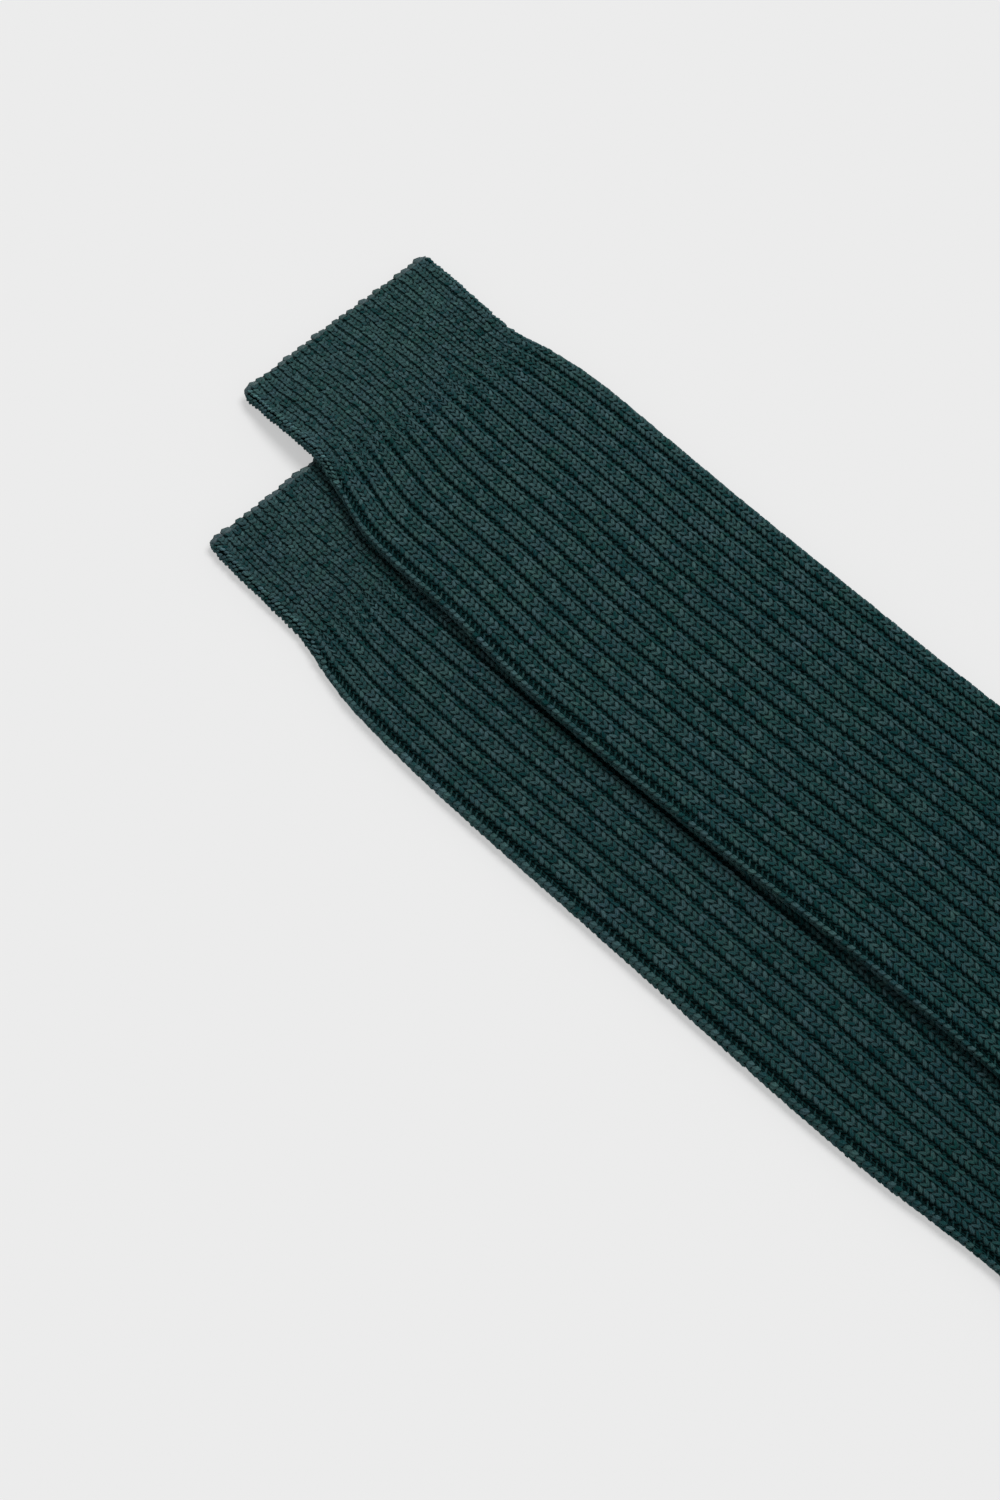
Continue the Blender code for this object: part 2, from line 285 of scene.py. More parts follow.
def relief_kept(cut, share):
    """Share of the ribs' relief left at a share of the way round."""
    instep = smooth((share - INSTEP_START) / INSTEP_FADE)
    return cut.sole + (cut.ribbed - cut.sole) * instep


def groove_depth(share, cut):
    """Depth of the grooves between ribs, for a share of the way round, mm."""
    place = share * RIBS - RIB_SHIFT
    phase = place % 1.0
    wide = np.minimum(phase, 1.0 - phase)
    fine_phase = phase * 2.0 % 1.0
    fine = np.minimum(fine_phase, 1.0 - fine_phase)
    wide_depth = GROOVE * (1.0 - smooth(wide / GROOVE_HALF)) + ROUNDING * (1.0 - 2.0 * wide) ** 2
    opened = smooth((place - OPEN_FROM) / OPEN_EASE) * (place < 1.0)
    wide_depth = np.maximum(wide_depth, (GROOVE + ROUNDING) * opened)
    fine_depth = CUFF_RELIEF * (1.0 - smooth(fine / CUFF_HALF))
    crease = np.abs(place - CREASE_PLACE)
    fine_depth = fine_depth + CREASE * (1.0 - smooth(crease / CREASE_HALF))
    return (fine_depth + cut.leg * (wide_depth - fine_depth)) * relief_kept(cut, share)


def set_down(sock, cut, across, up):
    """Points in space from distances across a section and up from its underside."""
    span = width_of(cut)
    x = cut.low_x + across * (cut.high_x - cut.low_x) / span
    y = cut.low_y + across * (cut.high_y - cut.low_y) / span
    swell = 1.0 + EDGE_SWELL * smooth(1.0 - across / EDGE_ZONE)
    return np.stack([x, y, up * swell + sock.lift(x, y)], axis=-1)


def face_points(sock, along, share, inset, grooved=True):
    """Points on the upper side: share runs up the low fold, over and down the high."""
    cut = section_at(sock, along)
    radius = cut.height / 2.0
    fold = math.pi * radius
    flat = width_of(cut) - cut.height
    arc = share * arc_of(cut)
    reach = radius - inset - (groove_depth(share, cut) if grooved else 0.0)
    low = np.minimum(arc, fold) / radius
    high = np.maximum(arc - fold - flat, 0.0) / radius
    middle = np.clip(arc - fold, 0.0, flat)
    across = radius + middle - reach * np.sin(low) * (arc < fold) + reach * np.sin(high)
    up = radius - reach * np.where(arc < fold, np.cos(low), -np.cos(high))
    return set_down(sock, cut, across, up)


def under_points(sock, along, share, inset):
    """Points on the resting side, from the high fold back to the low one."""
    cut = section_at(sock, along)
    across = width_of(cut) - cut.height / 2.0 - share * (width_of(cut) - cut.height)
    phase = share * UNDER_RIBS % 1.0
    edge = smooth(np.minimum(share, 1.0 - share) * UNDER_RIBS)
    groove = (1.0 - smooth(np.minimum(phase, 1.0 - phase) / UNDER_HALF)) * edge
    return set_down(sock, cut, across, inset + UNDER_RELIEF * groove * cut.leg * cut.sole)


INNER_BOW = 40                   # how squarely the inside's top meets its two sides


def inner_points(sock, along, top_share, under_share):
    """Points of the plain inside, matched one to one with the outer ones."""
    cut = section_at(sock, along)
    room = cut.height - TOP_WALL - UNDER_WALL
    side = SIDE_WALL + room / 2.0
    turned = np.clip((top_share * RIBS - 0.5) / (RIBS - 1), 0.0, 1.0)
    across = side + turned * (width_of(cut) - 2.0 * side)
    bow = np.sqrt(np.clip(1.0 - (2.0 * turned - 1.0) ** INNER_BOW, 0.0, 1.0))
    top = set_down(sock, cut, across, UNDER_WALL + room / 2.0 * (1.0 + bow))
    cut = section_at(sock, along[:, :1] + 0.0 * under_share)
    side = SIDE_WALL + (cut.height - TOP_WALL - UNDER_WALL) / 2.0
    back = width_of(cut) - side - under_share * (width_of(cut) - 2.0 * side)
    under = set_down(sock, cut, back, UNDER_WALL + 0.0 * back)
    return np.concatenate([top, under], axis=1)


def on_floor(x, y):
    """The floor is level."""
    return np.zeros_like(x)


lower = sock_shape(LOWER_LEG, LOWER_ANKLE, on_floor)

# The plan's place in the frame comes from where the lower sock lies in it
lower_plan = np.vstack([lower.rings[:, 0:2], lower.rings[:, 2:4]])
low_corner, high_corner = np.array(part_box("sock_lower")) / MM
plan_middle = (lower_plan.min(axis=0) + lower_plan.max(axis=0)) / 2.0
SHIFT = np.array([*((low_corner + high_corner)[:2] / 2.0 - plan_middle), 0.0])


def to_frame(points):
    """Plan millimetres to the frame's metres."""
    return ((points + SHIFT) * MM).tolist()


def tube_quads(first, count, rings):
    """Quads between the rings of a tube."""
    ring = np.arange(rings - 1)[:, None] * count + first
    point = np.arange(count)[None, :]
    after = (point + 1) % count
    quads = np.stack([ring + point, ring + count + point, ring + count + after, ring + after])
    return quads.reshape(4, -1).T


RING_STEP = 3.4                  # mm between rings of the cloth's mesh
INNER_STEP = 3                   # one inner ring for so many outer rings
TOE_SEAM = 4                     # the inside ends this many rings from the toe's tip
FINE_PHASES = (0.0, 0.13, 0.3, 0.5, 0.74, 0.87)     # mesh points across a rib
WIDE_PHASES = (0.0, 0.08, 0.16, 0.5, 0.84, 0.92)
UNDER_PHASES = 4
EDGE_SHARE = 0.004               # no rib point lies nearer to the folds' feet
PAINTED_FACE_LIGHT = 0.95                # painted light of the cloth between the stitches of a rib
PAINTED_GROOVE_LIGHT = 0.32              # and painted shade of the cloth in the grooves
PAINTED_CUFF_LIGHT = 1.5                 # painted light: how much lighter the cloth is painted between the cuff's fine ribs
DEEP_SHARE = 0.5                 # share of the deepest groove that has its full painted shade
COURSE = 2.25                    # mean height of a course in the leg, mm


def store(mesh, label, values):
    """A number or a vector kept on each point of a mesh."""
    kind, field = ("FLOAT", "value") if values.ndim == 1 else ("FLOAT_VECTOR", "vector")
    layer = mesh.attributes.new(label, kind, "POINT")
    layer.data.foreach_set(field, values.ravel().astype(np.float32))


def cloth_mesh(name, sock):
    """A sock's cloth as one closed wall, with its wales and courses as a UV map."""
    count = int(sock.end / RING_STEP)
    length = np.linspace(0.0, sock.end, count)[:, None]
    leg = section_at(sock, length).leg
    rib = np.repeat(np.arange(-1, RIBS), len(WIDE_PHASES)) + RIB_SHIFT
    fine = (rib + np.tile(FINE_PHASES, RIBS + 1)) / RIBS
    wide = (rib + np.tile(WIDE_PHASES, RIBS + 1)) / RIBS
    near = (np.minimum(fine, wide) > EDGE_SHARE) & (np.maximum(fine, wide) < 1.0 - EDGE_SHARE)
    top_share = fine[near] + leg * (wide[near] - fine[near])
    edge = np.zeros((count, 1))
    top_share = np.concatenate([edge, top_share, edge + 1.0], axis=1)
    under_share = np.linspace(0.0, 1.0, UNDER_RIBS * UNDER_PHASES + 1)[1:-1]
    under_share = np.tile(under_share, (count, 1))
    along_top = length + 0.0 * top_share
    along_under = length + 0.0 * under_share
    outer = np.concatenate([face_points(sock, along_top, top_share, STITCH_SINK),
                            under_points(sock, along_under, under_share, 0.0)], axis=1)
    seam = count - TOE_SEAM
    kept = list(range(0, seam, INNER_STEP)) + [seam]
    inner = inner_points(sock, along_top[kept], top_share[kept], under_share[kept])
    round_count = outer.shape[1]
    inner_start = outer.shape[0] * round_count
    toe = inner_start + inner.shape[0] * round_count
    points = np.concatenate([outer.reshape(-1, 3), inner.reshape(-1, 3),
                             [outer[-1].mean(axis=0), inner[-1].mean(axis=0)]])
    point = np.arange(round_count)
    after = (point + 1) % round_count
    last = inner_start - round_count
    inner_last = toe - round_count
    quads = np.concatenate([
        tube_quads(0, round_count, len(outer)),
        tube_quads(inner_start, round_count, len(inner))[:, ::-1],
        np.stack([inner_start + point, point, after, inner_start + after], axis=1)])
    ends = np.concatenate([
        np.stack([last + point, np.full(round_count, toe), last + after], axis=1),
        np.stack([inner_last + after, np.full(round_count, toe + 1), inner_last + point],
                 axis=1)])
    mesh = bpy.data.meshes.new(name)
    mesh.from_pydata(to_frame(points), [], quads.tolist() + ends.tolist())

    # Painted light and shade on the cloth, kept as its light attribute: darker the deeper it lies
    # in a groove, the crease or the open purl band, and lighter between the cuff's fine ribs
    deep = groove_depth(top_share, section_at(sock, along_top)) / (GROOVE + ROUNDING)
    light = np.ones(outer.shape[:2])
    face = PAINTED_FACE_LIGHT * (PAINTED_CUFF_LIGHT + (1.0 - PAINTED_CUFF_LIGHT) * leg)
    light[:, :top_share.shape[1]] = face + (PAINTED_GROOVE_LIGHT - face) * smooth(deep / DEEP_SHARE)
    store(mesh, "light", np.concatenate([light.ravel(), np.ones(len(points) - inner_start)]))

    around = (RIBS + UNDER_RIBS) * WALES
    wale = np.concatenate([top_share * RIBS, RIBS + under_share * UNDER_RIBS], axis=1) * WALES
    knit = np.stack([wale, length / COURSE + 0.0 * wale], axis=-1)
    tip = [[around / 4.0, sock.end / COURSE]] * 2
    knit = np.concatenate([knit.reshape(-1, 2), knit[kept].reshape(-1, 2), tip])
    corner = np.empty(len(mesh.loops), dtype=np.int32)
    mesh.loops.foreach_get("vertex_index", corner)
    uv = knit[corner]
    # A face across the low fold's foot takes the wales on round past the last one
    first = np.empty(len(mesh.polygons), dtype=np.int32)
    size = np.empty(len(mesh.polygons), dtype=np.int32)
    mesh.polygons.foreach_get("loop_start", first)
    mesh.polygons.foreach_get("loop_total", size)
    widest = np.maximum.reduceat(uv[:, 0], first)[np.repeat(np.arange(len(first)), size)]
    uv[:, 0] += around * (widest - uv[:, 0] > around / 2.0)
    layer = mesh.uv_layers.new(name="knit")
    layer.data.foreach_set("uv", uv.ravel().astype(np.float32))
    mesh.shade_smooth()
    return mesh


def maths(tree, operation, first, second=None, third=None):
    """A Math node; each input is a number or a socket."""
    node = tree.nodes.new("ShaderNodeMath")
    node.operation = operation
    for socket, item in zip(node.inputs, (first, second, third)):
        if isinstance(item, bpy.types.NodeSocket):
            tree.links.new(item, socket)
        elif item is not None:
            socket.default_value = item
    return node.outputs[0]


def group_of(name, wants, gives):
    """An empty shader group with named sockets, and its two ends."""
    tree = bpy.data.node_groups.new(name, "ShaderNodeTree")
    for label, kind, default in wants:
        socket = tree.interface.new_socket(label, in_out="INPUT", socket_type=kind)
        if default is not None:
            socket.default_value = default
    for label, kind in gives:
        tree.interface.new_socket(label, in_out="OUTPUT", socket_type=kind)
    return tree, tree.nodes.new("NodeGroupInput"), tree.nodes.new("NodeGroupOutput")


def noise_on(tree, place, scale, detail):
    """A Noise texture at a place, with its scale from a socket."""
    noise = tree.nodes.new("ShaderNodeTexNoise")
    set_inputs(noise, {"Detail": detail})
    tree.links.new(place, noise.inputs["Vector"])
    tree.links.new(scale, noise.inputs["Scale"])
    return noise.outputs["Fac"]


DEEP_RED = 1.8                   # how much faster red fades where the wool is darker, from painted shade and its own tone
FIBRE_LOW = 0.25                 # light of the darkest fibre
FIBRE_RANGE = 1.5
FIBRE_NOISE = (2600.0, 2.0)      # scale and detail
PATCH_NOISE = (60.0, 3.0)
PATCH_SHARE = 0.4                # how far the dye follows soft patches, not each stitch
PATCH_GAIN = 1.6


def mottled_yarn():
    """Colour of mottled wool: two dyed shades mixed in soft patches, with fine fibre."""
    wants = (("Green", "NodeSocketColor", None), ("Blue", "NodeSocketColor", None),
             ("Tint", "NodeSocketFloat", 0.5), ("Tone", "NodeSocketFloat", 1.0),
             ("Patch", "NodeSocketFloat", PATCH_NOISE[0]),
             ("Fibre", "NodeSocketFloat", FIBRE_NOISE[0]))
    gives = (("Color", "NodeSocketColor"), ("Fibre Height", "NodeSocketFloat"))
    tree, start, end = group_of("mottled yarn", wants, gives)
    link = tree.links.new
    place = tree.nodes.new("ShaderNodeTexCoord").outputs["Object"]
    patch = noise_on(tree, place, start.outputs["Patch"], PATCH_NOISE[1])
    fibre = noise_on(tree, place, start.outputs["Fibre"], FIBRE_NOISE[1])
    spread = maths(tree, "MULTIPLY_ADD", patch, PATCH_GAIN, 0.5 - PATCH_GAIN / 2.0)
    which = maths(tree, "MULTIPLY_ADD", start.outputs["Tint"], 1.0 - PATCH_SHARE,
                  maths(tree, "MULTIPLY", spread, PATCH_SHARE))
    mix = tree.nodes.new("ShaderNodeMix")
    mix.data_type = "RGBA"       # its colours are inputs 6 and 7 and output 2
    link(which, mix.inputs["Factor"])
    link(start.outputs["Green"], mix.inputs[6])
    link(start.outputs["Blue"], mix.inputs[7])
    # Tone brings the painted light and shade of the cloth and of the rows, with the wool's own
    # tone
    light = maths(tree, "MULTIPLY", start.outputs["Tone"],
                  maths(tree, "MULTIPLY_ADD", fibre, FIBRE_RANGE, FIBRE_LOW))
    faded = maths(tree, "POWER", maths(tree, "MINIMUM", light, 1.0), DEEP_RED)
    channels = tree.nodes.new("ShaderNodeCombineXYZ")
    link(maths(tree, "MULTIPLY", light, faded), channels.inputs[0])
    link(light, channels.inputs[1])
    link(light, channels.inputs[2])
    shade = tree.nodes.new("ShaderNodeVectorMath")
    shade.operation = "MULTIPLY"
    link(mix.outputs[2], shade.inputs[0])
    link(channels.outputs[0], shade.inputs[1])
    link(shade.outputs[0], end.inputs["Color"])
    link(fibre, end.inputs["Fibre Height"])
    return tree


LEG_PLACE = 0.25                 # a stitch's legs lie this far each side of its middle


def stitch_relief():
    """Height of knit stitches from wale and course coordinates: two slanted legs each."""
    wants = (("Knit", "NodeSocketVector", None), ("Slant", "NodeSocketFloat", 1.3),
             ("Squareness", "NodeSocketFloat", 0.6))
    tree, start, end = group_of("stitch relief", wants, (("Height", "NodeSocketFloat"),))
    split = tree.nodes.new("ShaderNodeSeparateXYZ")
    tree.links.new(start.outputs["Knit"], split.inputs[0])
    middle = maths(tree, "SUBTRACT", maths(tree, "FRACT", split.outputs["X"]), 0.5)
    aside = maths(tree, "ABSOLUTE", middle)
    slanted = maths(tree, "MULTIPLY_ADD", aside, start.outputs["Slant"], split.outputs["Y"])
    course = maths(tree, "SUBTRACT", maths(tree, "FRACT", slanted), 0.5)
    lengthways = maths(tree, "COSINE", maths(tree, "MULTIPLY", course, math.pi))
    leg = maths(tree, "SUBTRACT", aside, LEG_PLACE)
    crosswise = maths(tree, "COSINE", maths(tree, "MULTIPLY", leg, math.tau))
    rounded = maths(tree, "POWER", lengthways, start.outputs["Squareness"])
    tree.links.new(maths(tree, "MULTIPLY", rounded, crosswise), end.inputs["Height"])
    return tree


MOTTLED = mottled_yarn()
RELIEF = stitch_relief()
WOOL_ROUGHNESS = 0.92
WOOL_SPECULAR = 0.05
YARN_SHEEN = 0.06                # the nap on the stitches' tops
CLOTH_SHEEN = 0.02
SHEEN_ROUGHNESS = 0.45
SHEEN_TINT = (0.55, 0.80, 0.78, 1.0)


def add_group(tree, group, uv_map=None):
    """A group placed in a material, its first input from a UV map if one is named."""
    node = tree.nodes.new("ShaderNodeGroup")
    node.node_tree = group
    if uv_map:
        uv = tree.nodes.new("ShaderNodeUVMap")
        uv.uv_map = uv_map
        tree.links.new(uv.outputs[0], node.inputs[0])
    return node


def wool(name, sheen, green, blue):
    """A dull woolly material: itself, its tree, its shader and its mottled yarn."""
    material = bpy.data.materials.new(name)
    material.use_nodes = True
    tree = material.node_tree
    shader = tree.nodes["Principled BSDF"]
    set_inputs(shader, {"Roughness": WOOL_ROUGHNESS, "Specular IOR Level": WOOL_SPECULAR,
                        "Sheen Weight": sheen, "Sheen Roughness": SHEEN_ROUGHNESS,
                        "Sheen Tint": SHEEN_TINT})
    yarn = add_group(tree, MOTTLED)
    set_inputs(yarn, {"Green": green, "Blue": blue})
    tree.links.new(yarn.outputs["Color"], shader.inputs["Base Color"])
    return material, tree, shader, yarn


def add_bump(tree, shader, height, distance, strength=1.0):
    """A Bump node on the shader's normal."""
    bump = tree.nodes.new("ShaderNodeBump")
    set_inputs(bump, {"Strength": strength, "Distance": distance})
    tree.links.new(height, bump.inputs["Height"])
    tree.links.new(bump.outputs[0], shader.inputs["Normal"])


PAINTED_STITCH_GAP_LIGHT = 0.25                # painted shade: light between two stitches of plain cloth
STITCH_HEIGHT = 0.0009           # m
FIBRE_ON_CLOTH = 0.2             # height of the fibre, as a share of a stitch's


def cloth_finish(name, green, blue):
    """Knitted cloth as it shows between the stitches, inside and underneath."""
    material, tree, shader, yarn = wool(name, CLOTH_SHEEN, green, blue)
    relief = add_group(tree, RELIEF, "knit")
    light = tree.nodes.new("ShaderNodeAttribute")
    light.attribute_name = "light"
    # Painted shade between the stitches, times the cloth's painted light and shade
    painted_gap_light = maths(tree, "MULTIPLY_ADD", relief.outputs["Height"], 1.0 - PAINTED_STITCH_GAP_LIGHT, PAINTED_STITCH_GAP_LIGHT)
    tree.links.new(maths(tree, "MULTIPLY", light.outputs["Fac"], painted_gap_light), yarn.inputs["Tone"])
    height = maths(tree, "MULTIPLY_ADD", yarn.outputs["Fibre Height"], FIBRE_ON_CLOTH,
                   relief.outputs["Height"])
    add_bump(tree, shader, height, STITCH_HEIGHT)
    return material


# The lower sock's wool: the upper sock's dye lot, painted a little darker as painted shade
LOWER_SHADED_GREEN = (0.030, 0.075, 0.068, 1.0)
LOWER_SHADED_BLUE = (0.035, 0.069, 0.083, 1.0)

lower_cloth = add_object("lower_sock_cloth", cloth_mesh("lower_sock_cloth", lower))
lower_cloth.data.materials.append(cloth_finish("lower_cloth", LOWER_SHADED_GREEN, LOWER_SHADED_BLUE))
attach(lower_cloth, "root")
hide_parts("sock_lower")


# ---------------------------------------------------------------------------
# The lower sock's stitches.  Every knit stitch shows as two slanted legs of plied
# wool that meet in a V down the leg, purl columns sink between the ribs, and the
# cast-on edge is a row of plump loops.
YARN_SINK = 0.50                 # a leg's middle below the rib top, mm
YARN_RISE = 0.62                 # half height of a leg of yarn, mm
THIN_RISE = (0.45, 0.75)         # a thin leg's rise: a share, and more for each mm
YARN_REACH = 0.74                # half length of a leg, as a share of a course
YARN_FULL = 0.98                 # fullness of a leg, as a share of its row
SLANT = 35.0                     # degrees from the wale
CUFF_COURSE = 1.63               # height of a course, mm
LEG_COURSE = 2.05
LONG_COURSE = 2.38
CUFF_END = 48.0                  # where the wide rib begins, mm from the top
CUFF_EASE = 6.0
LONG_FROM = 190.0                # where the courses reach their full height, mm

# One row of yarn legs in a rib: which way it slants, and where it lies, how wide it
# is and its painted light and shade, on the cuff, on the leg and on plain knitting, as
# shares of a rib. The painted shade darkens the rows down on the groove walls.
# The last rows of a table come up out of a groove where the knitting is plain.
YarnRow = namedtuple("YarnRow", "slant cuff leg plain cuff_half leg_half cuff_shade leg_shade",
                     defaults=(1.0, 1.0))
PLAIN_HALF = 0.0625              # half width of every row on plain knitting
GROOVE_ROWS = (
    YarnRow(1.0, 0.97, 0.97, 0.9375, 0.0, 0.0),
    YarnRow(-1.0, 1.03, 1.03, 1.0625, 0.0, 0.0),
)
YARN_ROWS = (
    YarnRow(1.0, 0.142, 0.048, 0.1875, 0.122, 0.050, 1.0, 0.42),
    YarnRow(-0.8, 0.358, 0.182, 0.3125, 0.122, 0.102),
    YarnRow(1.05, 0.47, 0.395, 0.4375, 0.0, 0.100),
    YarnRow(-1.0, 0.53, 0.600, 0.5625, 0.0, 0.102, 1.0, 1.05),
    YarnRow(0.6, 0.642, 0.808, 0.6875, 0.122, 0.100),
    YarnRow(-1.0, 0.858, 0.965, 0.8125, 0.122, 0.050, 1.0, 0.42),
) + GROOVE_ROWS
# The rib that turns round the low fold is stretched open, so its purl strands show.
# Its painted shades light the row along the fold's ridge as a painted highlight and
# darken the purl strands.
FOLD_ROWS = (
    YarnRow(1.0, 0.18, 0.10, 0.1875, 0.108, 0.080, 0.95, 0.9),
    YarnRow(-1.0, 0.37, 0.29, 0.3125, 0.108, 0.105, 1.0, 1.2),
    YarnRow(1.0, 0.515, 0.40, 0.4375, 0.090, 0.0),
    YarnRow(-1.0, 0.53, 0.53, 0.5625, 0.0, 0.0),
    YarnRow(1.2, 0.875, 0.520, 0.6875, 0.090, 0.135, 1.6, 1.2),
    YarnRow(-1.8, 0.855, 0.810, 0.8125, 0.0, 0.048, 1.15, 0.75),
) + GROOVE_ROWS
MIN_SIZE = 0.35                  # a leg under this share of a plain one isn't made
LEG_STRAY = 0.010                # how far the ribs stray sideways, as a share of a rib
CUFF_STRAY = 0.028
STRAY_LENGTH = 34.0              # mm
FIRST_STRAY = (math.tau, 1.7)    # how fast each of two waves of it runs along and across
SECOND_STRAY = (2.3, 2.9)
LEG_RINGS = (-0.5, 0.5)          # where a leg is full, as shares of its half length
LEG_ROUND = ((-1.0, -0.1), (0.0, 1.0), (1.0, -0.1), (0.0, -0.9))     # across and up
END_DIP = 0.45                   # of its half height


def yarn_leg():
    """One leg of a stitch: a plump spindle whose ends dip into the cloth."""
    points = [(-1.0, 0.0, -END_DIP)]
    for x in LEG_RINGS:
        points += [(x, across, up) for across, up in LEG_ROUND]
    points.append((1.0, 0.0, -END_DIP))
    count = len(LEG_ROUND)
    faces = []
    for k in range(count):
        after = (k + 1) % count
        faces.append((0, 1 + k, 1 + after))
        faces.append((1 + k, 1 + count + k, 1 + count + after, 1 + after))
        faces.append((1 + count + k, 1 + 2 * count, 1 + count + after))
    mesh = bpy.data.meshes.new("yarn_leg")
    mesh.from_pydata(points, [], faces)
    layer = mesh.uv_layers.new(name="yarn")
    for loop in mesh.loops:
        x, y, _ = points[loop.vertex_index]
        layer.data[loop.index].uv = (x * 0.5 + 0.5, y * 0.5 + 0.5)
    return add_object("yarn_leg", mesh)


def stitch_tree():
    """Geometry Nodes that lay one leg of yarn on every point, turned and sized."""
    tree = bpy.data.node_groups.new("lay stitches", "GeometryNodeTree")
    link = tree.links.new
    sockets = tree.interface
    sockets.new_socket("Geometry", in_out="INPUT", socket_type="NodeSocketGeometry")
    sockets.new_socket("Yarn", in_out="INPUT", socket_type="NodeSocketObject")
    sockets.new_socket("Finish", in_out="INPUT", socket_type="NodeSocketMaterial")
    plump = sockets.new_socket("Plumpness", in_out="INPUT", socket_type="NodeSocketFloat")
    plump.default_value = 1.0
    sockets.new_socket("Geometry", in_out="OUTPUT", socket_type="NodeSocketGeometry")
    start = tree.nodes.new("NodeGroupInput")
    end = tree.nodes.new("NodeGroupOutput")

    def stored(name):
        node = tree.nodes.new("GeometryNodeInputNamedAttribute")
        node.data_type = "FLOAT_VECTOR"
        set_inputs(node, {"Name": name})
        return node.outputs["Attribute"]

    yarn = tree.nodes.new("GeometryNodeObjectInfo")
    link(start.outputs["Yarn"], yarn.inputs["Object"])
    points = tree.nodes.new("GeometryNodeMeshToPoints")
    link(start.outputs["Geometry"], points.inputs["Mesh"])
    upright = tree.nodes.new("FunctionNodeAlignRotationToVector")
    upright.axis = "Z"
    link(stored("outwards"), upright.inputs["Vector"])
    slanted = tree.nodes.new("FunctionNodeAlignRotationToVector")
    slanted.axis = "X"
    slanted.pivot_axis = "Z"
    link(upright.outputs[0], slanted.inputs["Rotation"])
    link(stored("runs"), slanted.inputs["Vector"])
    fuller = tree.nodes.new("ShaderNodeVectorMath")
    fuller.operation = "SCALE"
    link(stored("size"), fuller.inputs[0])
    link(start.outputs["Plumpness"], fuller.inputs["Scale"])
    lay = tree.nodes.new("GeometryNodeInstanceOnPoints")
    link(points.outputs[0], lay.inputs["Points"])
    link(yarn.outputs["Geometry"], lay.inputs["Instance"])
    link(slanted.outputs[0], lay.inputs["Rotation"])
    link(fuller.outputs[0], lay.inputs["Scale"])
    real = tree.nodes.new("GeometryNodeRealizeInstances")
    link(lay.outputs[0], real.inputs[0])
    finish = tree.nodes.new("GeometryNodeSetMaterial")
    link(real.outputs[0], finish.inputs["Geometry"])
    link(start.outputs["Finish"], finish.inputs["Material"])
    link(finish.outputs[0], end.inputs[0])
    return tree


YARN = yarn_leg()
LAY = stitch_tree()


def lay_stitches(name, points, outwards, runs, size, tone, tint, finish):
    """One mesh of yarn legs, laid by the Geometry Nodes tree and made plain."""
    mesh = bpy.data.meshes.new(name + "_places")
    mesh.from_pydata(to_frame(points), [], [])
    for label, values in (("outwards", outwards), ("runs", runs), ("size", size * MM),
                          ("tone", tone), ("tint", tint)):
        store(mesh, label, values)
    places = add_object(name + "_places", mesh)
    modifier = places.modifiers.new("lay", "NODES")
    modifier.node_group = LAY
    inputs = {item.name: item.identifier for item in LAY.interface.items_tree
              if item.in_out == "INPUT"}
    modifier[inputs["Yarn"]] = YARN
    modifier[inputs["Finish"]] = finish
    modifier[inputs["Plumpness"]] = 1.0
    graph = bpy.context.evaluated_depsgraph_get()
    made = bpy.data.meshes.new_from_object(places.evaluated_get(graph), depsgraph=graph)
    made.name = name
    bpy.data.objects.remove(places, do_unlink=True)
    made.shade_smooth()
    return add_object(name, made)


def ply_twist():
    """How far each place of a leg of yarn stands out, as its plies wind round it."""
    wants = (("Yarn", "NodeSocketVector", None), ("Along", "NodeSocketFloat", 9.0),
             ("Across", "NodeSocketFloat", 14.0))
    tree, start, end = group_of("ply twist", wants, (("Ply", "NodeSocketFloat"),))
    split = tree.nodes.new("ShaderNodeSeparateXYZ")
    tree.links.new(start.outputs["Yarn"], split.inputs[0])
    wound = maths(tree, "MULTIPLY", split.outputs["Y"], start.outputs["Across"])
    twist = maths(tree, "MULTIPLY_ADD", split.outputs["X"], start.outputs["Along"], wound)
    ply = maths(tree, "MULTIPLY_ADD", maths(tree, "SINE", twist), 0.5, 0.5)
    tree.links.new(ply, end.inputs["Ply"])
    return tree


PLY = ply_twist()
PLY_GAP_PAINTED_LIGHT = 0.86                  # painted shade: light between two plies
# painted light added on a ply's crown
PLY_CROWN_PAINTED_LIGHT = 0.22
PLY_HEIGHT = 0.00018             # m
PLY_STRENGTH = 0.8
FIBRE_ON_YARN = 0.6


def yarn_finish(name, green, blue):
    """Plied mottled wool, each leg with its own tone and tint."""
    material, tree, shader, yarn = wool(name, YARN_SHEEN, green, blue)
    tone = tree.nodes.new("ShaderNodeAttribute")
    tone.attribute_name = "tone"
    tint = tree.nodes.new("ShaderNodeAttribute")
    tint.attribute_name = "tint"
    ply = add_group(tree, PLY, "yarn").outputs["Ply"]
    # Painted light and shade along the plies: darker between two plies, lighter on their crowns
    lit = maths(tree, "MULTIPLY_ADD", ply, PLY_CROWN_PAINTED_LIGHT, PLY_GAP_PAINTED_LIGHT)
    tree.links.new(maths(tree, "MULTIPLY", tone.outputs["Fac"], lit), yarn.inputs["Tone"])
    tree.links.new(tint.outputs["Fac"], yarn.inputs["Tint"])
    height = maths(tree, "MULTIPLY_ADD", yarn.outputs["Fibre Height"], FIBRE_ON_YARN, ply)
    add_bump(tree, shader, height, PLY_HEIGHT, PLY_STRENGTH)
    return material


def course_height(along):
    """Height of a course at each length, mm."""
    past_cuff = smooth((along - CUFF_END + CUFF_EASE) / (2.0 * CUFF_EASE))
    grown = smooth((along - CUFF_END) / (LONG_FROM - CUFF_END))
    leg_course = LEG_COURSE + (LONG_COURSE - LEG_COURSE) * grown
    return CUFF_COURSE + (leg_course - CUFF_COURSE) * past_cuff


